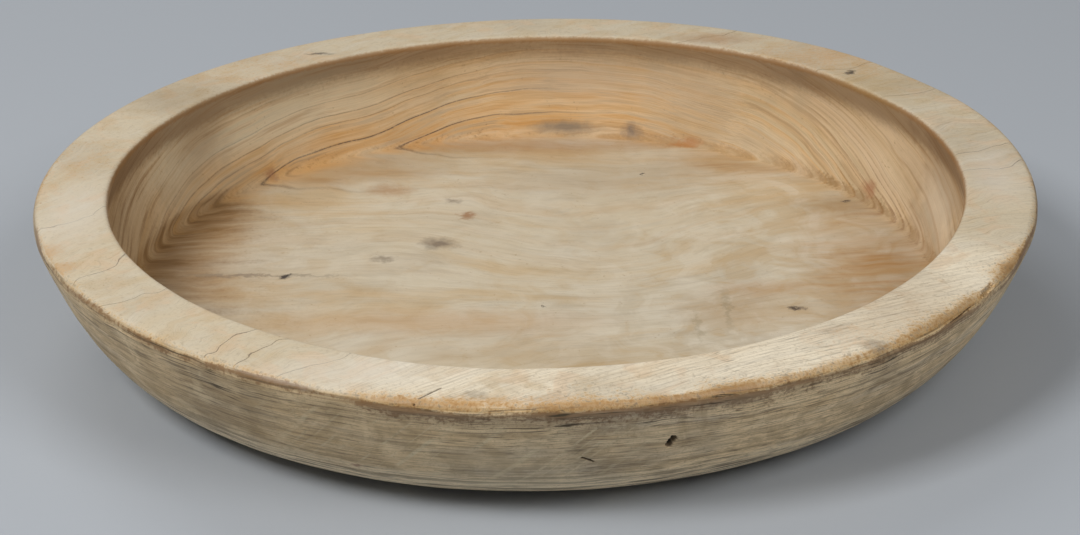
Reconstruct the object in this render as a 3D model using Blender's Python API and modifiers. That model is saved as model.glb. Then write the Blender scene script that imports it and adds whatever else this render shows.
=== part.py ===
"""Turned dairy bowl: a wide, shallow bowl for standing milk, cut from one thick plank of hardwood.

The blank is turned round on a lathe as one profile: a flat floor, a hollowed wall that runs in
under the lip, a broad rim with a worn outer edge, and a rounded outside down to a flat base.
Drying then draws the timber in across its grain, which leaves the bowl a little oval, and lifts
the rim where the grain ends in it.

Metres, +Z up. The origin is the middle of the base, on the surface that the bowl stands on.
"""

import math

import bpy
from mathutils import Vector

# Sizes as turned
RIM_RADIUS = 0.300  # axis to the widest point of the rim's outer edge
HEIGHT = 0.0875  # base to the top of the lip
RIM_WIDTH = 0.0444  # lip to the widest point, seen from above
RIM_FALL = 0.0010  # the rim's top slopes down outwards by this much
EDGE_HEIGHT = 0.0075  # the widest point lies this far below the lip
EDGE_RADIUS = 0.0045  # worn round of the rim's outer edge
LIP_RADIUS = 0.0032  # worn round of the rim's inner edge
UNDERCUT = 0.0075  # the hollowed wall stands back from the lip by this much
HOLLOW_DEPTH = 0.0330  # the undercut is deepest this far below the lip
HOLLOW_RADIUS = 0.060  # sweep of the hollowed wall
FLOOR_THICKNESS = 0.0160
WALL_THICKNESS = 0.0155  # wall at the level of the floor, measured level
COVE_RADIUS = 0.0060  # round between the floor and the wall
BASE_RADIUS = 0.2060  # flat that the bowl stands on
WALL_SWELL = 3.3  # 1 is a straight outside wall; more is rounder towards the base

# Drying
GRAIN_ANGLE = math.radians(22.0)  # grain direction, anticlockwise from +X
SHRINKAGE = 0.022  # half the difference of the two diameters, as a share of their mean
RIM_LIFT = 0.0021  # the rim rises by this much at the grain's ends and sinks as much across it

# Facets
TURNING_STEPS = 96  # round the axis
WALL_STEPS = 13  # down the outside wall
ARC_STEP = math.radians(15.0)  # turn of a rounded corner for each facet

TIMBER_COLOUR = (0.52, 0.41, 0.27, 1.0)
TIMBER_ROUGHNESS = 0.62


def clear_scene():
    for leftover in list(bpy.data.objects):
        bpy.data.objects.remove(leftover)


def rounded(before, corner, after, radius):
    """Points of the arc that rounds a corner between two straight runs, limited to half of each run."""
    back, ahead = before - corner, after - corner
    half_angle = back.angle(ahead) / 2
    reach = min(radius / math.tan(half_angle), back.length / 2, ahead.length / 2)
    radius = reach * math.tan(half_angle)
    centre = corner + (back.normalized() + ahead.normalized()).normalized() * math.hypot(reach, radius)
    start = corner + back.normalized() * reach - centre
    end = corner + ahead.normalized() * reach - centre
    turn = start.angle_signed(end)
    steps = max(2, round(abs(turn) / ARC_STEP))
    arc = []
    for i in range(steps + 1):
        part = turn * i / steps
        cosine, sine = math.cos(part), math.sin(part)
        # angle_signed counts clockwise turns as positive
        arc.append(centre + Vector((start.x * cosine + start.y * sine, start.y * cosine - start.x * sine)))
    return arc


def outside_radius(level):
    """Radius of the outside wall at a height above the base."""
    edge_level = HEIGHT - EDGE_HEIGHT
    return BASE_RADIUS + (RIM_RADIUS - BASE_RADIUS) * (level / edge_level) ** (1 / WALL_SWELL)


def outside_wall():
    """Points of the outside wall from the rim's edge down to the base, closer together near the base."""
    edge_level = HEIGHT - EDGE_HEIGHT
    points = []
    for i in range(WALL_STEPS + 1):
        share = 1 - i / WALL_STEPS
        points.append(Vector((BASE_RADIUS + (RIM_RADIUS - BASE_RADIUS) * share, edge_level * share**WALL_SWELL)))
    return points


def turned_profile():
    """Half section from the middle of the floor, over the rim, to the middle of the base, as (radius, height)."""
    lip_radius = RIM_RADIUS - RIM_WIDTH
    floor_middle = Vector((0.0, FLOOR_THICKNESS))
    floor_corner = Vector((outside_radius(FLOOR_THICKNESS) - WALL_THICKNESS, FLOOR_THICKNESS))
    hollow = Vector((lip_radius + UNDERCUT, HEIGHT - HOLLOW_DEPTH))
    lip = Vector((lip_radius, HEIGHT))
    edge = Vector((RIM_RADIUS, HEIGHT - RIM_FALL))
    wall = outside_wall()
    return [
        floor_middle,
        *rounded(floor_middle, floor_corner, hollow, COVE_RADIUS),
        *rounded(floor_corner, hollow, lip, HOLLOW_RADIUS),
        *rounded(hollow, lip, edge, LIP_RADIUS),
        *rounded(lip, edge, wall[0], EDGE_RADIUS),
        *wall,
        Vector((0.0, 0.0)),
    ]


def turn(name, profile):
    """The profile turned about Z, as a plain mesh object."""
    mesh = bpy.data.meshes.new(name)
    points = [(radius, 0.0, level) for radius, level in profile]
    mesh.from_pydata(points, [(i, i + 1) for i in range(len(points) - 1)], [])
    section = bpy.data.objects.new(name + "_section", mesh)
    bpy.context.scene.collection.objects.link(section)
    lathe = section.modifiers.new("lathe", "SCREW")
    lathe.axis = "Z"
    lathe.steps = TURNING_STEPS
    lathe.render_steps = TURNING_STEPS
    lathe.use_merge_vertices = True
    lathe.merge_threshold = 0.00001
    graph = bpy.context.evaluated_depsgraph_get()
    turned = bpy.data.meshes.new_from_object(section.evaluated_get(graph))
    turned.name = name
    bpy.data.objects.remove(section)
    return bpy.data.objects.new(name, turned)


def season(bowl):
    """Dries the turned blank: shorter across the grain, with the rim lifted where the grain ends in it."""
    along = Vector((math.cos(GRAIN_ANGLE), math.sin(GRAIN_ANGLE), 0.0))
    across = Vector((-along.y, along.x, 0.0))
    for vertex in bowl.data.vertices:
        u, v, level = vertex.co.dot(along), vertex.co.dot(across), vertex.co.z
        saddle = (u * u - v * v) / RIM_RADIUS**2
        vertex.co = along * (u * (1 + SHRINKAGE)) + across * (v * (1 - SHRINKAGE))
        vertex.co.z = level + RIM_LIFT * saddle * level / HEIGHT


def timber():
    material = bpy.data.materials.new("bleached_hardwood")
    material.use_nodes = True
    shader = material.node_tree.nodes["Principled BSDF"]
    shader.inputs["Base Color"].default_value = TIMBER_COLOUR
    shader.inputs["Roughness"].default_value = TIMBER_ROUGHNESS
    shader.inputs["Metallic"].default_value = 0.0
    return material


def main():
    clear_scene()
    collection = bpy.data.collections.new("dairy_bowl")
    bpy.context.scene.collection.children.link(collection)
    bowl = turn("bowl", turned_profile())
    season(bowl)
    bowl.data.materials.append(timber())
    bowl.data.shade_smooth()
    bowl.data.set_sharp_from_angle(angle=math.radians(35.0))
    collection.objects.link(bowl)


main()
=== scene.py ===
"""Turned dairy bowl: one wide, shallow bowl cut from a thick plank of sycamore, worn and bleached by use."""

import math

import bmesh
import bpy
import numpy as np
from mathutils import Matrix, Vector, noise


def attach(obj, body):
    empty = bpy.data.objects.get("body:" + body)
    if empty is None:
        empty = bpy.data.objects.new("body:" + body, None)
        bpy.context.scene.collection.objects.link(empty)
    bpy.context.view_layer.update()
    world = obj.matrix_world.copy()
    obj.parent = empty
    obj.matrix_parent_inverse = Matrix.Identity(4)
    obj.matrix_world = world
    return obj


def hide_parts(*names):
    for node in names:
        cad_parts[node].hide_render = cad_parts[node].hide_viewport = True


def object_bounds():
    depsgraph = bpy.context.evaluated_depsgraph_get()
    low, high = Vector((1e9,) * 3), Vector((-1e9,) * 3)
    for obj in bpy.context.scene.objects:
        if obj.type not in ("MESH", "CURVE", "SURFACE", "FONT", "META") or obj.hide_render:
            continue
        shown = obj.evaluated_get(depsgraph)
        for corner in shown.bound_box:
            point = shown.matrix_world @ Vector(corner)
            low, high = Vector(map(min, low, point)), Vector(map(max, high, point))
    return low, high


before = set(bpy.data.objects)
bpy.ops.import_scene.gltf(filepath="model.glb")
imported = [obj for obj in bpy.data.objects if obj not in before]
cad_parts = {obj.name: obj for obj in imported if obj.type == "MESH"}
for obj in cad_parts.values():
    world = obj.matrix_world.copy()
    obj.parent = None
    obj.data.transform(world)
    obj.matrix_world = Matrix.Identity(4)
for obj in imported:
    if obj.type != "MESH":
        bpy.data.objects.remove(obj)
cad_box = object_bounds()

# The bowl: one block of sycamore turned on a lathe to a flat floor, a wall hollowed under the lip, a broad
# rim and a rounded outside. Drying has drawn it in across the grain, which leaves it oval with a rim that
# lifts a little where the grain ends in it.
RIM_RADIUS = 0.300  # axis to the widest point
HEIGHT = 0.0875  # base to the top of the lip
LIP_RADIUS = 0.2556  # axis to the lip
HOLLOW = (0.2631, 0.0545)  # radius and height where the wall is hollowed deepest
FLOOR_CORNER = (0.2482, 0.0160)  # radius and height where the wall meets the floor
EDGE = (0.300, 0.0865)  # radius and height of the rim's outer corner
WIDEST = 0.0800  # height of the widest point
BASE_RADIUS = 0.2060  # flat that the bowl stands on
WALL_SWELL = 3.3  # 1 is a straight outside; more is rounder towards the base
COVE_ROUND = 0.006
HOLLOW_SWEEP = 0.060
LIP_ROUND = 0.0032
EDGE_ROUND = 0.0045
OUTSIDE_STEPS = 40
TURNING_STEPS = 500
SEAM_WELD = 0.00001
GRAIN_ANGLE = math.radians(22.0)  # anticlockwise from +X
SHRINKAGE = 0.022  # longer along the grain and shorter across it by this share
RIM_LIFT = 0.0021  # rise of the rim where the grain ends in it, and its fall across the grain


def rounded(before, corner, after, radius, steps):
    """Points of an arc that rounds the corner between two straight runs of the section."""
    before, corner, after = Vector(before), Vector(corner), Vector(after)
    back, ahead = (before - corner).normalized(), (after - corner).normalized()
    half_angle = back.angle(ahead) / 2
    centre = corner + (back + ahead).normalized() * (radius / math.sin(half_angle))
    start = corner + back * (radius / math.tan(half_angle)) - centre
    end = corner + ahead * (radius / math.tan(half_angle)) - centre
    turn = start.angle_signed(end)
    arc = []
    for i in range(steps + 1):
        cosine, sine = math.cos(turn * i / steps), math.sin(turn * i / steps)
        arc.append(centre + Vector((start.x * cosine + start.y * sine, start.y * cosine - start.x * sine)))
    return arc


outside = []
for i in range(OUTSIDE_STEPS + 1):
    share = 1 - i / OUTSIDE_STEPS
    outside.append(Vector((BASE_RADIUS + (RIM_RADIUS - BASE_RADIUS) * share, WIDEST * share**WALL_SWELL)))
lip = (LIP_RADIUS, HEIGHT)
floor_middle = (0.0, FLOOR_CORNER[1])
runs = {
    "floor": [Vector(floor_middle)],
    "cove": rounded(floor_middle, FLOOR_CORNER, HOLLOW, COVE_ROUND, 6),
    "wall": rounded(FLOOR_CORNER, HOLLOW, lip, HOLLOW_SWEEP, 16),
    "lip": rounded(HOLLOW, lip, EDGE, LIP_ROUND, 7),
    "edge": rounded(lip, EDGE, outside[0], EDGE_ROUND, 8),
    "outside": outside,
    "base": [Vector((0.0, 0.0))],
}
section = [point for run in runs.values() for point in run]
lengths = np.concatenate([[0.0], np.cumsum([(b - a).length for a, b in zip(section, section[1:])])])
reached = {}
count = 0
for name, run in runs.items():
    reached[name] = (lengths[count], lengths[count + len(run) - 1])
    count += len(run)

# Stations along the section, close together where it turns and wide apart on the flats
spacing = [
    (reached["floor"][0], reached["cove"][0], 0.0060),
    (reached["cove"][0], reached["cove"][1], 0.0013),
    (reached["cove"][1], reached["lip"][0], 0.0026),
    (reached["lip"][0], reached["lip"][1], 0.0008),
    (reached["lip"][1], reached["edge"][0], 0.0023),
    (reached["edge"][0], reached["outside"][0] + 0.004, 0.0010),
    (reached["outside"][0] + 0.004, reached["outside"][1], 0.0027),
    (reached["outside"][1], reached["base"][0], 0.0160),
]
stations = [0.0]
for start, end, step in spacing:
    stations += list(np.linspace(start, end, max(2, round((end - start) / step) + 1))[1:])
stations = np.array(stations)
radii = np.interp(stations, lengths, [p.x for p in section])
levels = np.interp(stations, lengths, [p.y for p in section])


def wire(tree, kind, inputs=(), out=0, **settings):
    """Adds a node with its settings, fills its inputs with values or links, and gives its output."""
    node = tree.nodes.new(kind)
    for name, value in settings.items():
        setattr(node, name, value)
    for key, value in dict(inputs).items():
        if isinstance(value, bpy.types.NodeSocket):
            tree.links.new(value, node.inputs[key])
        else:
            node.inputs[key].default_value = value
    return node.outputs if out is None else node.outputs[out] if node.outputs else None


# The lathe turns the half section about Z, and drying then makes it oval and saddled
lathe = bpy.data.node_groups.new("lathe_and_drying", "GeometryNodeTree")
lathe.interface.new_socket("Geometry", in_out="INPUT", socket_type="NodeSocketGeometry")
lathe.interface.new_socket("Geometry", in_out="OUTPUT", socket_type="NodeSocketGeometry")
controls = {
    "Turning steps": ("NodeSocketInt", TURNING_STEPS),
    "Grain angle": ("NodeSocketFloat", GRAIN_ANGLE),
    "Shrinkage": ("NodeSocketFloat", SHRINKAGE),
    "Rim lift": ("NodeSocketFloat", RIM_LIFT),
    "Rim radius": ("NodeSocketFloat", RIM_RADIUS),
    "Height": ("NodeSocketFloat", HEIGHT),
    "Timber": ("NodeSocketMaterial", None),
}
identifiers = {}
for name, (kind, value) in controls.items():
    identifiers[name] = lathe.interface.new_socket(name, in_out="INPUT", socket_type=kind).identifier
given = wire(lathe, "NodeGroupInput", out=None)
points = wire(lathe, "GeometryNodeAttributeDomainSize", {"Geometry": given["Geometry"]})
columns = wire(lathe, "ShaderNodeMath", {0: given["Turning steps"], 1: 1.0}, operation="ADD")
grid = wire(lathe, "GeometryNodeMeshGrid", {"Vertices X": points, "Vertices Y": columns})
index = wire(lathe, "GeometryNodeInputIndex")
row = wire(lathe, "ShaderNodeMath", {0: index, 1: columns}, operation="DIVIDE")
row = wire(lathe, "ShaderNodeMath", {0: row}, operation="FLOOR")
column = wire(lathe, "ShaderNodeMath", {0: index, 1: columns}, operation="MODULO")
turn = wire(lathe, "ShaderNodeMath", {0: column, 1: given["Turning steps"]}, operation="DIVIDE")
turn = wire(lathe, "ShaderNodeMath", {0: turn, 1: math.tau}, operation="MULTIPLY")
position = wire(lathe, "GeometryNodeInputPosition")
sampled = wire(
    lathe,
    "GeometryNodeSampleIndex",
    {"Geometry": given["Geometry"], "Value": position, "Index": row},
    data_type="FLOAT_VECTOR",
)
turned = wire(lathe, "ShaderNodeVectorRotate", {"Vector": sampled, "Angle": turn}, rotation_type="Z_AXIS")
shape = wire(lathe, "GeometryNodeSetPosition", {"Geometry": grid, "Position": turned})
shape = wire(
    lathe,
    "GeometryNodeStoreNamedAttribute",
    {"Geometry": shape, "Name": "station", "Value": row},
    data_type="FLOAT",
    domain="POINT",
)
shape = wire(lathe, "GeometryNodeMergeByDistance", {"Geometry": shape, "Distance": SEAM_WELD})
grained = wire(lathe, "ShaderNodeMath", {0: given["Grain angle"], 1: -1.0}, operation="MULTIPLY")
along = wire(lathe, "ShaderNodeVectorRotate", {"Vector": position, "Angle": grained}, rotation_type="Z_AXIS")
along = wire(lathe, "ShaderNodeSeparateXYZ", {0: along}, out=None)
length = {0: along[0], 1: given["Shrinkage"], 2: along[0]}
length = wire(lathe, "ShaderNodeMath", length, operation="MULTIPLY_ADD")
drawn = wire(lathe, "ShaderNodeMath", {0: along[1], 1: given["Shrinkage"]}, operation="MULTIPLY")
width = wire(lathe, "ShaderNodeMath", {0: along[1], 1: drawn}, operation="SUBTRACT")
length_squared = wire(lathe, "ShaderNodeMath", {0: along[0], 1: along[0]}, operation="MULTIPLY")
width_squared = wire(lathe, "ShaderNodeMath", {0: along[1], 1: along[1]}, operation="MULTIPLY")
saddle = wire(lathe, "ShaderNodeMath", {0: length_squared, 1: width_squared}, operation="SUBTRACT")
saddle = wire(lathe, "ShaderNodeMath", {0: saddle, 1: given["Rim radius"]}, operation="DIVIDE")
saddle = wire(lathe, "ShaderNodeMath", {0: saddle, 1: given["Rim radius"]}, operation="DIVIDE")
saddle = wire(lathe, "ShaderNodeMath", {0: saddle, 1: given["Rim lift"]}, operation="MULTIPLY")
share = wire(lathe, "ShaderNodeMath", {0: along[2], 1: given["Height"]}, operation="DIVIDE")
level = wire(lathe, "ShaderNodeMath", {0: saddle, 1: share, 2: along[2]}, operation="MULTIPLY_ADD")
dried = wire(lathe, "ShaderNodeCombineXYZ", {0: length, 1: width, 2: level})
dried = wire(
    lathe, "ShaderNodeVectorRotate", {"Vector": dried, "Angle": given["Grain angle"]}, rotation_type="Z_AXIS"
)
shape = wire(lathe, "GeometryNodeSetPosition", {"Geometry": shape, "Position": dried})
shape = wire(lathe, "GeometryNodeSetShadeSmooth", {"Geometry": shape})
shape = wire(lathe, "GeometryNodeSetMaterial", {"Geometry": shape, "Material": given["Timber"]})
wire(lathe, "NodeGroupOutput", {"Geometry": shape})

half = bpy.data.meshes.new("half_section")
half_points = [(radius, 0.0, level) for radius, level in zip(radii, levels)]
half.from_pydata(half_points, [(i, i + 1) for i in range(len(half_points) - 1)], [])
blank = bpy.data.objects.new("half_section", half)
bpy.context.scene.collection.objects.link(blank)
timber = bpy.data.materials.new("bleached_sycamore")
modifier = blank.modifiers.new("lathe", "NODES")
modifier.node_group = lathe
for name, (kind, value) in controls.items():
    modifier[identifiers[name]] = timber if name == "Timber" else value
graph = bpy.context.evaluated_depsgraph_get()
mesh = bpy.data.meshes.new_from_object(blank.evaluated_get(graph))
mesh.name = "turned_bowl"
bpy.data.objects.remove(blank)
bowl = bpy.data.objects.new("turned_bowl", mesh)
bpy.context.scene.collection.objects.link(bowl)


def fade(start, end, value):
    """0 before start, 1 after end, and smooth between."""
    share = np.clip((value - start) / (end - start), 0, 1)
    return share * share * (3 - 2 * share)


# Breaks in the wood, in millimetres: from, to, half width, depth, and how dark they are painted, brown at the
# rim and painted shade inside. A broken knot in two rows, a short crack in the outside, a shake over the
# front of the rim in two rows, a chip out of the worn edge at the right and a split below it
breaks = [
    ((71.0, -274.4, 53.2), (71.8, -274.7, 54.4), 2.7, 5.0, 1.0),
    ((69.4, -273.1, 49.9), (70.1, -273.4, 51.0), 2.4, 4.0, 1.0),
    ((23.6, -279.3, 45.6), (29.5, -276.4, 41.6), 0.9, 1.6, 0.7),
    ((-64.5, -289.5, 82.2), (-61.5, -286.2, 84.8), 0.8, 1.2, 0.5),
    ((-61.5, -286.2, 84.8), (-50.5, -275.0, 85.2), 0.7, 1.2, 0.5),
    ((252.5, -158.0, 84.0), (258.0, -149.0, 86.0), 3.4, 2.2, 0.12),
    ((251.0, -159.0, 82.5), (229.0, -187.5, 80.0), 0.6, 1.0, 0.45),
]


def off_line(points, start, end):
    """Distance of each point from a straight line between two points."""
    start, end = np.array(start), np.array(end)
    share = np.clip((points - start) @ (end - start) / ((end - start) @ (end - start)), 0, 1)
    return np.linalg.norm(points - start - share[:, None] * (end - start), axis=1)


# Faces by a break are cut finer, so that it has a shape of its own
work = bmesh.new()
work.from_mesh(mesh)
middles = np.array([face.calc_center_median() for face in work.faces]) * 1000
by_break = np.zeros(len(middles), bool)
for start, end, half_width, depth, dark in breaks:
    by_break |= off_line(middles, start, end) < half_width + 4
edges = dict.fromkeys(edge for face, close in zip(work.faces, by_break) if close for edge in face.edges)
bmesh.ops.subdivide_edges(work, edges=list(edges), cuts=6, use_grid_fill=True)
work.to_mesh(mesh)
work.free()

co = np.empty(len(mesh.vertices) * 3, np.float32)
mesh.vertices.foreach_get("co", co)
co = co.reshape(-1, 3).astype(float) * 1000
normal = np.empty(len(mesh.vertices) * 3, np.float32)
mesh.vertices.foreach_get("normal", normal)
normal = normal.reshape(-1, 3)
row_of = np.empty(len(mesh.vertices), np.float32)
mesh.attributes["station"].data.foreach_get("value", row_of)
station = np.interp(row_of, np.arange(len(stations)), stations * 1000)
reach = {name: (start * 1000, end * 1000) for name, (start, end) in reached.items()}
angle = np.degrees(np.arctan2(co[:, 1], co[:, 0])) % 360
edge_middle = sum(reach["edge"]) / 2
past_edge = station - edge_middle

# Use has rubbed the outer edge uneven, most at the front right, and the rim dips and lifts with the grain
waves = np.array([noise.noise(Vector(p) / 24) + 0.3 * noise.noise(Vector(p) / 8) for p in co])
rubbed = 0.2 + 0.7 * waves * (0.3 + 0.7 * fade(190, 215, angle))
rubbed = rubbed + 1.6 * fade(288, 312, angle) * fade(330, 326, angle)
rubbed = np.clip(rubbed, 0.05, None) * np.exp(-((past_edge / 5.5) ** 2))
turned_by = np.radians(angle)
outward = np.stack([np.cos(turned_by), np.sin(turned_by), np.ones(len(co))], -1) / math.sqrt(2)
for middle, width, lift in ((34, 8, -1.3), (258, 12, -0.8)):
    co[:, 2] += lift * np.exp(-(((angle - middle) / width) ** 2)) * fade(45, 87, co[:, 2])
co += (0.25 * waves * fade(reach["cove"][0], reach["lip"][0], station) * (co[:, 2] > 3))[:, None] * normal
co -= rubbed[:, None] * outward
torn_and_shaded = np.zeros(len(co))
for start, end, half_width, depth, dark in breaks:
    ragged_width = half_width * (1 + 0.5 * np.array([noise.noise(Vector(p) / 1.7) for p in co]))
    cut = 1 - fade(0.35, 1.0, off_line(co, start, end) / ragged_width)
    co -= (cut * depth)[:, None] * normal
    torn_and_shaded = np.maximum(torn_and_shaded, cut * dark)
INSIDE = 0.02
low, high = [np.array(corner) * 1000 + INSIDE * side for corner, side in zip(cad_box, (1, -1))]
co = np.clip(co, [low[0], low[1], 0.0], high)
mesh.vertices.foreach_set("co", (co / 1000).astype(np.float32).ravel())
mesh.update()

# Grain of the plank, in millimetres: along the fibres, and across the growth rings. The rings rise towards
# the front, so the floor shows them as broad streaks, and the wall cuts them in nested loops that turn at
# the floor
FLOOR_EDGE = 248
FLOOR_LEVEL = 16
x, y, z = co.T
inward = np.minimum(1, FLOOR_EDGE / np.maximum(np.hypot(x, y), 1))
tilt = 0.14 + 0.24 * fade(-20, -140, y) - 0.24 * fade(110, 235, y)
valley = 62 * np.exp(-(((x - 45) / 90) ** 2) - ((y - 50) / 105) ** 2)
flow = (y - tilt * x) * inward + valley
rings = z - FLOOR_LEVEL + 0.336 * (252 - flow)
rings = rings + 5 * np.exp(-(((angle - 117) / 6) ** 2)) * fade(FLOOR_LEVEL, FLOOR_LEVEL + 8, z)
straight = np.maximum(fade(232, 262, angle) * (1 - 0.5 * fade(318, 350, angle)), 0.5 * fade(70, 35, angle))
slope = y - (0.62 * x - 0.000696 * x**2 + 1.02e-6 * x**3) + 15 * waves * (1 - straight)
along_grain = np.stack([x + 0.2 * y, rings, 0 * z], -1)
fields = {
    "floor": along_grain,
    "wall": along_grain,
    "rim": np.stack([x + 0.6 * y, slope, z], -1),
    "outside": np.stack([300 * turned_by, past_edge, 0 * z], -1),
    "under": along_grain,
}
top_of_lip = sum(reach["lip"]) / 2
sides = {
    "floor": (0, sum(reach["cove"]) / 2),
    "wall": (sum(reach["cove"]) / 2, top_of_lip),
    "rim": (top_of_lip, edge_middle),
    "outside": (edge_middle, reach["outside"][1]),
    "under": (reach["outside"][1], reach["base"][1]),
}
corners = np.empty(len(mesh.loops), np.int32)
mesh.loops.foreach_get("vertex_index", corners)
starts = np.empty(len(mesh.polygons), np.int32)
totals = np.empty(len(mesh.polygons), np.int32)
mesh.polygons.foreach_get("loop_start", starts)
mesh.polygons.foreach_get("loop_total", totals)
face_of = np.repeat(np.arange(len(starts)), totals)
face_station = np.bincount(face_of, station[corners]) / totals
grain = np.zeros((len(corners), 3))
for name, (first, last) in sides.items():
    here = ((face_station >= first) & (face_station <= last))[face_of]
    grain[here] = fields[name][corners[here]]
attribute = mesh.attributes.new("grain", "FLOAT_VECTOR", "CORNER")
attribute.data.foreach_set("vector", grain.astype(np.float32).ravel())


def patches(rows):
    """Soft oval patches on the plan: x, y, half length, half width and strength, in millimetres."""
    total = np.zeros(len(co))
    for px, py, length, width, strength in rows:
        total = np.maximum(total, strength * np.exp(-(((x - px) / length) ** 2) - ((y - py) / width) ** 2))
    return total


# Where a point lies on the section, where handling, damp and dirt have stained it, and where shade and light
# are painted on it
inner = station < top_of_lip
stained = (
    (215, 30, 75, 110, 0.9),
    (150, 190, 80, 32, 0.8),
    (-150, 180, 95, 36, 0.80),
    (-222, 60, 60, 100, 0.9),
    (-130, -110, 90, 60, 0.45),
    (-150, 10, 90, 70, 0.35),
    (20, 216, 180, 24, 0.38),
    (-40, -90, 170, 30, 0.6),
)
tanned = (
    (-283, -112, 12, 12, 1.0),
    (-273, -135, 12, 12, 1.0),
    (-30, -290, 110, 9, 0.7),
    (190, -215, 60, 30, 0.5),
    (190, 205, 90, 50, 0.7),
    (-200, 200, 90, 70, 0.5),
    (-290, 20, 40, 90, 0.45),
)
front = fade(240, 262, angle) * fade(345, 332, angle)
blotch = np.array([noise.noise(Vector(p) / 42 + Vector((7, 3, 5))) for p in co])
rim_stain = (1.6 + 3.6 * front) * np.clip(1 + 1.2 * waves + 0.8 * blotch, 0.4, 2.2)
below = past_edge - 2.5 * front - 2.0 * waves
rim_side = fade(*reach["lip"], station) * fade(edge_middle + 2, edge_middle - 1, station)
wall_side = fade(reach["cove"][0] - 10, reach["cove"][1], station) * fade(*reach["lip"][::-1], station)
outside_end = reach["outside"][1]
from_wall = np.clip(FLOOR_EDGE - np.hypot(x, y), 0, None)
right_side = fade(0.30, 0.85, x / 250 - 0.35 * y / 250) * inner
above_floor = fade(FLOOR_LEVEL + 2, FLOOR_LEVEL + 10, z)
by_left = fade(130, 150, angle)
values = {
    # On the rim, on the outside and by the base
    "parts": (
        rim_side,
        fade(edge_middle - 1, edge_middle + 2, station) * fade(outside_end + 4, outside_end - 6, station),
        fade(outside_end - 14, outside_end, station),
    ),
    # On the wall, by the heart of the rings, and the red-brown lines at the right of the wall
    "inner": (wall_side, fade(95, 40, rings) * inner, right_side * fade(36, 46, rings) * fade(84, 66, rings)),
    # Damp in the floor, handling of the rim, and broken wood with painted shade inside
    "stains": (
        patches(stained) * inner * (1 - 0.75 * above_floor),
        patches(tanned) * ~inner * (past_edge < 0),
        torn_and_shaded,
    ),
    # The worn edge, the dirt below it, and the coarse cut of the outside
    "edge": (
        np.exp(-np.abs(np.minimum(past_edge + 1.5, 0)) / rim_stain) * fade(6.0, 1.5, past_edge)
        * (0.5 + 0.35 * front) * np.clip(1 + (1 - 0.5 * front) * blotch, 0.4, 1.4),
        fade(-1.0, 1.0 + front, below) * np.exp(-np.clip(below - 2.5, 0, None) / (2.5 + 5.0 * front))
        * np.clip(0.95 + 0.05 * front + (1.1 - 0.5 * front) * blotch, 0.3, 1.2) * fade(175, 200, angle),
        np.exp(-(np.clip(past_edge - 13, 0, None) / 16)) + fade(38, 12, z),
    ),
    # Slanting flecks in the outside, open pores at the right, and rings that turn where the floor begins
    "figure": (
        fade(236, 250, angle) * fade(286, 276, angle) * fade(8, 20, past_edge) * (past_edge < 120),
        fade(280, 292, angle) * fade(335, 318, angle) * ~inner,
        np.exp(-from_wall / 40) * fade(95, 110, angle) * fade(192, 176, angle) * inner,
    ),
    # Dirt on the lip, painted shade with dirt under it, and dirt in the cove round the floor
    "dirt_and_shade": (
        np.exp(-(((station - reach["lip"][0] - 1.5) / 2.6) ** 2)),
        fade(reach["lip"][0] - 34, reach["lip"][0], station) * fade(*reach["lip"][::-1], station)
        * (0.95 + 0.35 * np.abs(np.cos(turned_by))),
        np.exp(-(((station - sum(reach["cove"]) / 2) / 4.5) ** 2)) * (0.45 + 0.55 * fade(95, 65, angle)),
    ),
    # Painted light on the wall at the back left, painted shade with brown staining on the floor and wall at
    # the left, and combed grain in the rim
    "light": (
        np.exp(-(((angle - 141) / 26) ** 2)) * fade(32, 50, z) * wall_side,
        np.exp(-from_wall / 60) * fade(138, 156, angle) * fade(235, 212, angle)
        * (1 - above_floor * (1 - 0.56 * fade(146, 172, angle))) * inner,
        straight * rim_side,
    ),
    # Amber wood inside the rings, the floor, and the quilted figure to the right
    "warm": (
        fade(58 + 14 * by_left, 34 + 12 * by_left, rings)
        * fade(reach["cove"][0] - 16, reach["cove"][0], station) * inner
        * fade(48, 80, angle) * (0.4 * fade(190, 172, angle) + 0.6 * fade(165, 135, angle)),
        fade(reach["cove"][1], reach["cove"][0] - 6, station),
        fade(-0.2, 0.6, x / 250 - y / 500) * inner,
    ),
    # Painted shade at the left of the outside, painted light near the base, and painted shade in cloudy
    # patches on the wall at the right
    "painted_light": (
        fade(282, 240, angle) * fade(150, 185, angle),
        fade(40, 10, z),
        wall_side * (fade(52, 24, angle) + fade(300, 340, angle)),
    ),
    # Grey ring lines, mottled rim at the left and back, and scrubbed rim at the front
    "lines": (
        fade(76, 98, angle) * fade(205, 185, angle) * inner,
        fade(286, 268, angle) * rim_side,
        rim_side * front,
    ),
}
for name, three in values.items():
    attribute = mesh.attributes.new(name, "FLOAT_VECTOR", "POINT")
    attribute.data.foreach_set("vector", np.stack(three, -1).astype(np.float32).ravel())
mesh.attributes.remove(mesh.attributes["station"])


def colour(code):
    """A linear colour from sRGB hex."""
    parts = [int(code[i : i + 2], 16) / 255 for i in (1, 3, 5)]
    return (*[c / 12.92 if c <= 0.04045 else ((c + 0.055) / 1.055) ** 2.4 for c in parts], 1.0)


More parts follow.
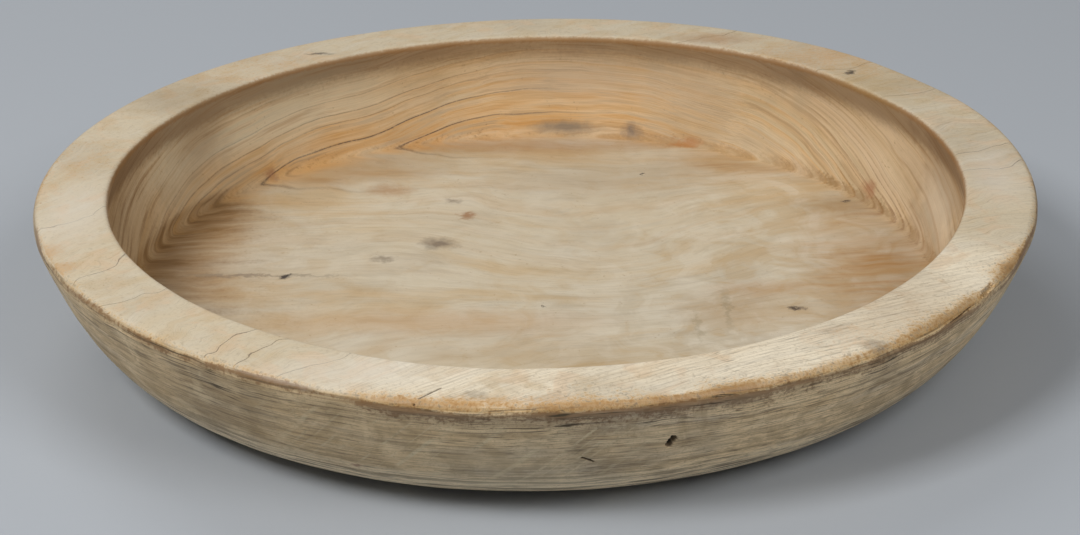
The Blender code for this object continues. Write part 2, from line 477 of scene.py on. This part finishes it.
# Bleached sycamore: bare, scrubbed and sun-bleached, so it is pale and dull, with grey growth lines, amber
# bands inside them and fine dark fibres; handling has stained and polished the rim's outer edge brown
timber.use_nodes = True
wood = timber.node_tree
shader = wood.nodes["Principled BSDF"]
spot = wire(wood, "ShaderNodeTexCoord", out="Object")
read = {}
for name in ("grain", *values):
    vector = wire(wood, "ShaderNodeAttribute", out="Vector", attribute_name=name)
    read[name] = wire(wood, "ShaderNodeSeparateXYZ", {0: vector}, out=None)
u, v, w = read["grain"]
on_rim, on_outside, on_base = read["parts"]
on_wall, by_heart, by_right = read["inner"]
damp, handled, torn_wood_and_shade = read["stains"]
on_edge, below_edge, rough_cut = read["edge"]
rays, pored, by_turn = read["figure"]
by_lip, shade_and_dirt_under_lip, by_cove = read["dirt_and_shade"]
lit_back_left, shaded_and_browned, combed = read["light"]
ringed, mottled, scrubbed = read["lines"]
ambered, on_floor, quilted = read["warm"]
shaded_left_outside, bounce_lit_base, shaded_right_wall = read["painted_light"]

# Patches to the metre, which makes them about 100, 17, 2.4, 77, 29 and 8 mm wide
DRIFT, WANDER, GRIT, CLOUD, QUILT, WAVER = 10.0, 60.0, 420.0, 13.0, 34.0, 120.0

# The grain wavers by millimetres over a hand's width, and by less over a finger's
drift = wire(wood, "ShaderNodeTexNoise", {"Vector": spot, "Scale": DRIFT, "Detail": 2.0})
wander = wire(wood, "ShaderNodeTexNoise", {"Vector": spot, "Scale": WANDER, "Detail": 2.0})
v = wire(wood, "ShaderNodeMath", {0: drift, 1: 14.0, 2: v}, operation="MULTIPLY_ADD")
v = wire(wood, "ShaderNodeMath", {0: wander, 1: 1.2, 2: v}, operation="MULTIPLY_ADD")
v = wire(wood, "ShaderNodeMath", {0: v, 1: 7.6}, operation="SUBTRACT")
w = wire(wood, "ShaderNodeMath", {0: drift, 1: 14.0, 2: w}, operation="MULTIPLY_ADD")

# Streaks along the fibres, in millimetres across and along; pores are short dashes
streaks = {}
for name, across, length, detail in (
    ("fine", 0.9, 60.0, 2.0),
    ("groove", 1.5, 70.0, 3.0),
    ("medium", 3.4, 85.0, 3.0),
    ("broad", 13.0, 140.0, 3.0),
    ("pore", 0.7, 13.0, 0.0),
):
    at = wire(wood, "ShaderNodeCombineXYZ", {0: u, 1: v, 2: w})
    at = wire(wood, "ShaderNodeVectorMath", {0: at, 1: (across / length, 1.0, 1.0)}, operation="MULTIPLY")
    inputs = {"Vector": at, "Scale": 1 / across, "Detail": detail, "Roughness": 0.6}
    streaks[name] = wire(wood, "ShaderNodeTexNoise", inputs)
fine, groove, medium, broad, pore = streaks.values()
grit = wire(wood, "ShaderNodeTexNoise", {"Vector": spot, "Scale": GRIT, "Detail": 3.0, "Roughness": 0.65})
cloud = wire(wood, "ShaderNodeTexNoise", {"Vector": spot, "Scale": CLOUD, "Detail": 4.0, "Roughness": 0.6})
quilt = wire(wood, "ShaderNodeTexNoise", {"Vector": spot, "Scale": QUILT, "Detail": 3.0, "Distortion": 1.4})
broken = wire(wood, "ShaderNodeMapRange", {"Value": grit, "From Min": 0.32, "From Max": 0.50, "To Min": 0.4})

# Growth rings that show as grey lines, by height in millimetres above the heart at the back of the floor: the
# wood is amber inside a ring and pale outside it
HEART_REACH = 90
at = wire(wood, "ShaderNodeMapRange", {"Value": v, "From Min": 0, "From Max": HEART_REACH})
heart = wire(wood, "ShaderNodeValToRGB", {0: at}, out=None)
stops = heart[0].node.color_ramp.elements
stops.remove(stops[1])
stops[0].color = (*colour("#b08e62")[:3], 0)
line = 0.7 / HEART_REACH
for level, dark in {15: 1.0, 30: 0.9, 37: 0.25, 43: 0.5, 49: 0.55, 59: 0.4, 74: 0.3}.items():
    tones = ((-line, "#d4a562", 0), (0, "#d4a562", dark), (line, "#dcc49c", 0), (4 * line, "#d5bb90", 0))
    for aside, tone, strength in tones:
        stops.new(level / HEART_REACH + aside).color = (*colour(tone)[:3], strength)

# Single dark lines that run over the rim: their place across the grain in millimetres, and how dark they are
HALF_LINE = 0.45
rim_lines = 0.0
for aside, dark in ((-167, 0.7), (-126, 1.0), (-96, 1.0), (15, 0.7), (80, 0.8), (180, 0.8)):
    line = wire(wood, "ShaderNodeMath", {0: v, 1: aside, 2: HALF_LINE}, operation="COMPARE")
    rim_lines = wire(wood, "ShaderNodeMath", {0: line, 1: dark, 2: rim_lines}, operation="MULTIPLY_ADD")

# Thin wavering lines, and flecks that slant over the fibres
uneven = wire(wood, "ShaderNodeMath", {0: broad, 1: 9.0, 2: v}, operation="MULTIPLY_ADD")
thin = wire(wood, "ShaderNodeMath", {0: uneven, 1: 1.8}, operation="PINGPONG")
slant = wire(wood, "ShaderNodeMath", {0: u, 1: 1.1, 2: v}, operation="MULTIPLY_ADD")
ray = wire(wood, "ShaderNodeTexNoise", {"W": slant, "Scale": 0.13, "Detail": 2.0}, noise_dimensions="1D")

# How strongly fibres, lines and pores show: so much everywhere, and so much more or less on each part
shown = {}
for name, total, *parts in (
    ("fine", 0.10, (on_outside, 0.42), (on_rim, -0.05), (combed, 0.18)),
    ("medium", 0.12, (on_outside, 0.30), (on_rim, -0.08), (combed, 0.08)),
    ("pore", 0.04, (on_rim, 0.10), (pored, 0.25), (on_outside, 0.35)),
    ("line", 0.04, (on_wall, 0.50), (by_turn, 0.55)),
    ("damp", -0.85, (broad, 1.6), (damp, 0.9)),
    ("speck", 0.02, (on_rim, 0.22), (scrubbed, 0.10), (on_outside, 0.40)),
):
    for part, much in parts:
        total = wire(wood, "ShaderNodeMath", {0: part, 1: much, 2: total}, operation="MULTIPLY_ADD")
    shown[name] = total

# Stains end raggedly among the fibres
ragged = wire(wood, "ShaderNodeMath", {0: grit, 1: 2.0, 2: -1.3}, operation="MULTIPLY_ADD")
ragged = wire(wood, "ShaderNodeMath", {0: wander, 1: 0.6, 2: ragged}, operation="MULTIPLY_ADD")
rough = {}
for name, stain, much in (
    ("edge", on_edge, 0.9),
    ("handled", handled, 0.6),
    ("below", below_edge, 1.1),
    ("shaded_and_browned", shaded_and_browned, 0.15),
    ("shade_and_dirt_under_lip", shade_and_dirt_under_lip, 0.15),
    ("lip", by_lip, 0.5),
    ("cove", by_cove, 0.8),
):
    rough[name] = wire(wood, "ShaderNodeMath", {0: ragged, 1: much, 2: stain}, operation="MULTIPLY_ADD")

# Coats of colour over the pale body, from the wood's own figure out to the stains on it, with painted shade
# and
# light among them: the colour, what it follows, where that begins to show and shows in full, how strongly,
# and masks, some with a factor and an addition
coats = [
    ("#e6cca6", on_wall, 0.0, 1.0, 1.0),
    ("#d0c1a5", on_rim, 0.0, 1.0, 1.0),
    ("#f5e8cf", scrubbed, 0.0, 1.0, 0.75),
    ("#efd3a6", on_outside, 0.0, 1.0, 1.0),
    ("#b0a286", on_base, 0.0, 1.0, 1.0),
    ("#b9ac95", cloud, 0.48, 0.66, 0.45),
    ("#d8b48c", quilt, 0.50, 0.66, 0.35, on_rim),
    ("#c6ad84", wander, 0.50, 0.66, 0.32, (mottled, 1.0, 0.1)),
    ("#c2a06c", broad, 0.50, 0.70, 0.45, (on_rim, -0.5, 1.0)),
    ("#d4cbb9", broad, 0.47, 0.30, 0.40, (on_wall, -0.6, 1.0)),
    ("#ddd3bf", quilt, 0.50, 0.64, 0.45, on_floor, (quilted, 0.7, 0.3)),
    ("#b89a6c", quilt, 0.47, 0.34, 0.42, on_floor, (quilted, 0.5, 0.5)),
    ("#a8793c", shown["damp"], 0.1, 0.7, 0.8, damp, (medium, 2.2, -0.25)),
    (heart[0], medium, 0.66, 0.40, 1.0, by_heart, (on_wall, 0.55, 0.20)),
    ("#a57d4a", medium, 0.50, 0.66, 0.48, on_wall),
    ("#c4b292", cloud, 0.50, 0.64, 0.35, on_wall),
    ("#d59a4e", medium, 0.68, 0.40, 0.56, ambered, (broad, 3.0, -0.8)),
    # Painted shade in brown cloudy patches on the wall at the right
    ("#a27448", cloud, 0.46, 0.62, 0.42, shaded_right_wall, (medium, 3.0, -0.7)),
    ("#e6cca8", broad, 0.48, 0.34, 0.60, on_wall, quilted),
    ("#ab8858", drift, 0.52, 0.64, 0.20, on_wall),
    # Painted light on the wall at the back left
    ("#e4d6b8", lit_back_left, 0.0, 1.0, 0.95, (medium, -3.0, 2.3)),
    # Painted shade from the left rim, with brown staining, on the floor and wall at the left
    ("#926a34", rough["shaded_and_browned"], 0.10, 0.85, 0.68, (medium, 1.4, -0.05)),
    ("#684822", rough["shaded_and_browned"], 0.15, 0.75, 0.50, (medium, 3.0, -0.95)),
    ("#453b32", heart[1], 0.0, 1.0, 1.0, ringed, broken, shown["line"]),
    ("#5a4a3b", rim_lines, 0.0, 1.0, 0.70, mottled, broken),
    ("#8a5c30", thin, 0.7, 0.1, 0.65, by_right, on_wall, broken),
    ("#8d7458", thin, 0.5, 0.1, 0.20, combed, broken),
    ("#5f4c38", fine, 0.50, 0.30, 1.0, shown["fine"]),
    ("#6b573e", medium, 0.52, 0.34, 1.0, shown["medium"]),
    # Painted shade at the left of the outside
    ("#8a7350", shaded_left_outside, 0.0, 1.0, 0.32, on_outside),
    ("#8a7350", cloud, 0.48, 0.66, 0.18, on_outside),
    ("#957c54", quilt, 0.48, 0.64, 0.38, on_outside),
    ("#f0d9b0", quilt, 0.46, 0.32, 0.40, on_outside),
    # Painted light, as if bounced from the floor, on the outside near the base
    ("#fae6c4", bounce_lit_base, 0.0, 1.0, 0.66, on_outside),
    ("#dccba6", ray, 0.52, 0.68, 0.62, rays, (wander, 5.0, -2.0)),
    ("#4a3c26", medium, 0.47, 0.39, 0.85, bounce_lit_base, on_outside),
    ("#fbe9c6", medium, 0.50, 0.60, 0.85, bounce_lit_base, on_outside),
    ("#54432f", pore, 0.36, 0.26, 1.0, shown["pore"]),
    ("#8f7a58", grit, 0.46, 0.30, 1.0, shown["speck"]),
    ("#cda569", rough["edge"], 0.25, 0.95, 0.70),
    ("#966b36", rough["edge"], 0.55, 1.20, 0.75),
    ("#5f4220", grit, 0.47, 0.34, 0.60, on_edge),
    ("#bf9054", rough["handled"], 0.25, 1.00, 0.58),
    ("#6f4c28", rough["below"], 0.25, 1.00, 0.75),
    ("#43361f", groove, 0.46, 0.36, 0.90, on_outside, (rough_cut, 0.8, 0.2), (cloud, 3.0, -0.7)),
    # Painted shade under the overhanging lip, with dirt in it
    ("#694a2b", rough["shade_and_dirt_under_lip"], 0.35, 1.05, 0.62),
    ("#9a6f3d", rough["lip"], 0.30, 0.95, 0.65),
    ("#8d672f", rough["cove"], 0.30, 1.00, 0.65, (broad, 3.0, -0.9)),
]

# Broad stains and bleached places, then knots, damp spots and lines, and worm holes, in millimetres: colour,
# place, half sizes, strength. Their outlines waver by up to 9 mm on the plan and 2 mm in height
marks = (
    ("#bfae98", (35, 256, 56), (80, 20, 20), 0.45),
    ("#7a5428", (-224, 130, 58), (26, 40, 26), 0.40),
    ("#b98a52", (-60, -56, 16), (110, 22, 8), 0.40),
    ("#a98250", (125, -40, 16), (45, 36, 8), 0.35),
    ("#866538", (200, 120, 17), (34, 22, 8), 0.40),
    ("#a06f38", (122, 245, 87), (34, 14, 6), 0.45),
    ("#8a7250", (-235, 140, 87), (55, 40, 6), 0.35),
    ("#dcd2c2", (-275, -60, 88), (24, 60, 8), 0.40),
    ("#dcd2c4", (281, 5, 88), (22, 50, 8), 0.40),
    ("#dccfb8", (258, 60, 46), (14, 40, 22), 0.35),
    ("#e6decf", (-95, -258, 87), (60, 22, 6), 0.40),
    ("#9a7c52", (200, -175, 86), (50, 50, 6), 0.30),
    ("#5c4526", (-22, -294, 74), (40, 12, 7), 0.35),
    ("#d8c4a0", (-20, -279, 41), (50, 20, 14), 0.30),
    ("#dccbaa", (-20, -262, 22), (70, 24, 12), 0.35),
    ("#8d8170", (43, 165, 16), (95, 38, 8), 0.26),
    ("#a9713a", (-10, 224, 17), (115, 14, 6), 0.32),
    ("#a9884f", (20, -105, 16), (125, 30, 8), 0.24),
    ("#b07f48", (140, -8, 16), (36, 14, 8), 0.30),
    ("#a3803f", (222, 152, 87), (45, 42, 6), 0.32),
    ("#8f6c42", (245, 98, 42), (20, 26, 24), 0.26),
    ("#5f4526", (-262, 20, 60), (18, 60, 30), 0.16),
    ("#d9c3a6", (110, 240, 55), (50, 24, 22), 0.35),
    ("#d9cdb0", (-168, 192, 30), (30, 26, 12), 0.35),
    ("#8f7c64", (19, 244, 21), (25, 14, 5), 0.95),
    ("#86735f", (65, 238, 21), (9, 10, 6), 0.9),
    ("#b3773e", (103, 224, 17), (15, 5, 6), 0.7),
    ("#a8683f", (220, 130, 24), (6, 8, 7), 0.6),
    ("#9a6238", (-181, 165, 19), (6, 6, 5), 0.6),
    ("#a97c4c", (-100, 145, 16), (18, 11, 8), 0.6),
    ("#96663a", (-47, 104, 16), (7, 7, 8), 0.8),
    ("#6b5a4b", (-57, 128, 16), (7, 5, 8), 0.55),
    ("#5e4d40", (-64, 59, 16), (13, 10, 8), 0.70),
    ("#7c6c58", (-98, 35, 16), (9, 4, 8), 0.6),
    ("#6d6050", (-174, 10, 16), (58, 2.2, 8), 0.5),
    ("#2c211c", (-159, 8, 16), (4.5, 4.0, 8), 0.95),
    ("#3a2b24", (158, -36, 16), (4.5, 3.0, 8), 0.9),
    ("#2c211c", (70, 172, 16), (1.6, 2.2, 8), 0.9),
    ("#3a2b24", (205, 126, 16), (3.0, 2.0, 8), 0.8),
    ("#2c211c", (2, -31, 16), (1.3, 1.8, 8), 0.8),
    ("#857757", (116, -36, 16), (2.4, 34, 8), 0.36),
    ("#857757", (97, -62, 16), (2.2, 26, 8), 0.30),
    ("#4a3c30", (-150, 220, 87), (11, 2.5, 8), 0.7),
    ("#33271e", (209, 178, 88), (3.5, 4.5, 8), 0.85),
    ("#8a7a62", (-32, -283, 86), (7, 5, 8), 0.5),
    ("#5a4a3a", (185, -225, 85), (10, 6, 8), 0.4),
    ("#8a7458", (107, -272, 76), (12, 12, 7), 0.4),
    ("#7a3f2c", (-98, -254, 28), (4, 4, 2), 0.7),
)
waver = {"Vector": spot, "Scale": WAVER, "Detail": 5.0, "Roughness": 0.7}
waver = wire(wood, "ShaderNodeTexNoise", waver, out="Color")
wavering = {0: spot, 1: (1000, 1000, 1000), 2: (-9, -9, -2)}
wavering = wire(wood, "ShaderNodeVectorMath", wavering, operation="MULTIPLY_ADD")
wavering = {0: waver, 1: (18, 18, 4), 2: wavering}
wavering = wire(wood, "ShaderNodeVectorMath", wavering, operation="MULTIPLY_ADD")
for code, place, half_sizes, strength in marks:
    shrink = [1 / size for size in half_sizes]
    centre = [-p / size for p, size in zip(place, half_sizes)]
    off = wire(wood, "ShaderNodeVectorMath", {0: wavering, 1: shrink, 2: centre}, operation="MULTIPLY_ADD")
    off = wire(wood, "ShaderNodeVectorMath", {0: off}, out="Value", operation="LENGTH")
    coats.append((code, off, 1.15, 0.30, strength))

# Broken wood is brown at its rim and painted nearly black inside as the shade of the hollow, over everything
# else
coats += [("#4f3d28", torn_wood_and_shade, 0.02, 0.35, 0.8), ("#1a1410", torn_wood_and_shade, 0.35, 0.9, 1.0)]
paint = colour("#cdbfa5")
for tone, value, start, end, most, *masks in coats:
    share = {"Value": value, "From Min": start, "From Max": end, "To Max": most}
    rise = "SMOOTHSTEP" if start < end else "LINEAR"
    share = wire(wood, "ShaderNodeMapRange", share, interpolation_type=rise)
    for mask in masks:
        if isinstance(mask, tuple):
            mask = wire(wood, "ShaderNodeMath", dict(enumerate(mask)), operation="MULTIPLY_ADD")
        share = wire(wood, "ShaderNodeMath", {0: share, 1: mask}, operation="MULTIPLY")
    tone = colour(tone) if isinstance(tone, str) else tone
    paint = wire(wood, "ShaderNodeMix", {0: share, 6: paint, 7: tone}, out=2, data_type="RGBA")
wood.links.new(paint, shader.inputs["Base Color"])

# Bare wood is dull, and hands have polished the worn edge
polish = wire(wood, "ShaderNodeMapRange", {"Value": on_edge, "To Min": 0.64, "To Max": 0.42})
wood.links.new(polish, shader.inputs["Roughness"])
shader.inputs["IOR"].default_value = 1.5

# Relief under a millimetre: raised fibres everywhere, and deeper grooves in the outside
grooved = wire(wood, "ShaderNodeMath", {0: on_outside, 1: 1.2, 2: 0.2}, operation="MULTIPLY_ADD")
height = wire(wood, "ShaderNodeMath", {0: medium, 1: 0.8, 2: fine}, operation="MULTIPLY_ADD")
height = wire(wood, "ShaderNodeMath", {0: groove, 1: grooved, 2: height}, operation="MULTIPLY_ADD")
relief = wire(wood, "ShaderNodeBump", {"Height": height, "Strength": 0.35, "Distance": 0.0006})
wood.links.new(relief, shader.inputs["Normal"])

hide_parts("bowl")
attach(bowl, "root")

# The floor that the bowl stands on: a plain pale grey sheet, a hair below the base to keep the two apart
SHEET_HALF = 6
SHEET_LEVEL = -0.0003
quarters = ((-1, -1), (1, -1), (1, 1), (-1, 1))
sheet_corners = [(SHEET_HALF * a, SHEET_HALF * b, SHEET_LEVEL) for a, b in quarters]
sheet = bpy.data.meshes.new("floor")
sheet.from_pydata(sheet_corners, [], [(0, 1, 2, 3)])
floor = bpy.data.objects.new("floor", sheet)
bpy.context.scene.collection.objects.link(floor)
matt = bpy.data.materials.new("matt_grey_paint")
matt.use_nodes = True
matt_shader = matt.node_tree.nodes["Principled BSDF"]
matt_shader.inputs["Base Color"].default_value = colour("#adb2b8")
matt_shader.inputs["Roughness"].default_value = 0.9
sheet.materials.append(matt)

# Light: a soft box high at the front left, weaker ones at the front right and the back, and an even fill
for name, place, size, power in (
    ("key", (-1.64, -1.38, 2.38), 1.0, 55.0),
    ("fill", (1.60, -1.60, 2.26), 1.5, 31.0),
    ("back", (-1.03, 1.78, 2.45), 1.5, 20.0),
):
    lamp = bpy.data.lights.new(name, "AREA")
    lamp.size = size
    lamp.energy = power
    stand = bpy.data.objects.new(name, lamp)
    stand.location = place
    stand.rotation_euler = (-Vector(place)).to_track_quat("-Z", "Y").to_euler()
    bpy.context.scene.collection.objects.link(stand)
world = bpy.data.worlds.new("room")
world.use_nodes = True
sky = world.node_tree.nodes["Background"]
sky.inputs["Color"].default_value = (1.0, 1.0, 1.0, 1.0)
sky.inputs["Strength"].default_value = 0.19
bpy.context.scene.world = world

# The camera: a long lens from the front, looking 25 degrees down
LOOK_DOWN = 24.989
lens = bpy.data.cameras.new("camera")
lens.sensor_width = 36.0
lens.lens = 93.33
camera = bpy.data.objects.new("camera", lens)
camera.location = (0.00126, -1.5804, 0.7631)
camera.rotation_euler = (math.radians(90 - LOOK_DOWN), 0.0, 0.0)
bpy.context.scene.collection.objects.link(camera)
bpy.context.scene.camera = camera
bpy.context.scene.view_settings.view_transform = "Standard"
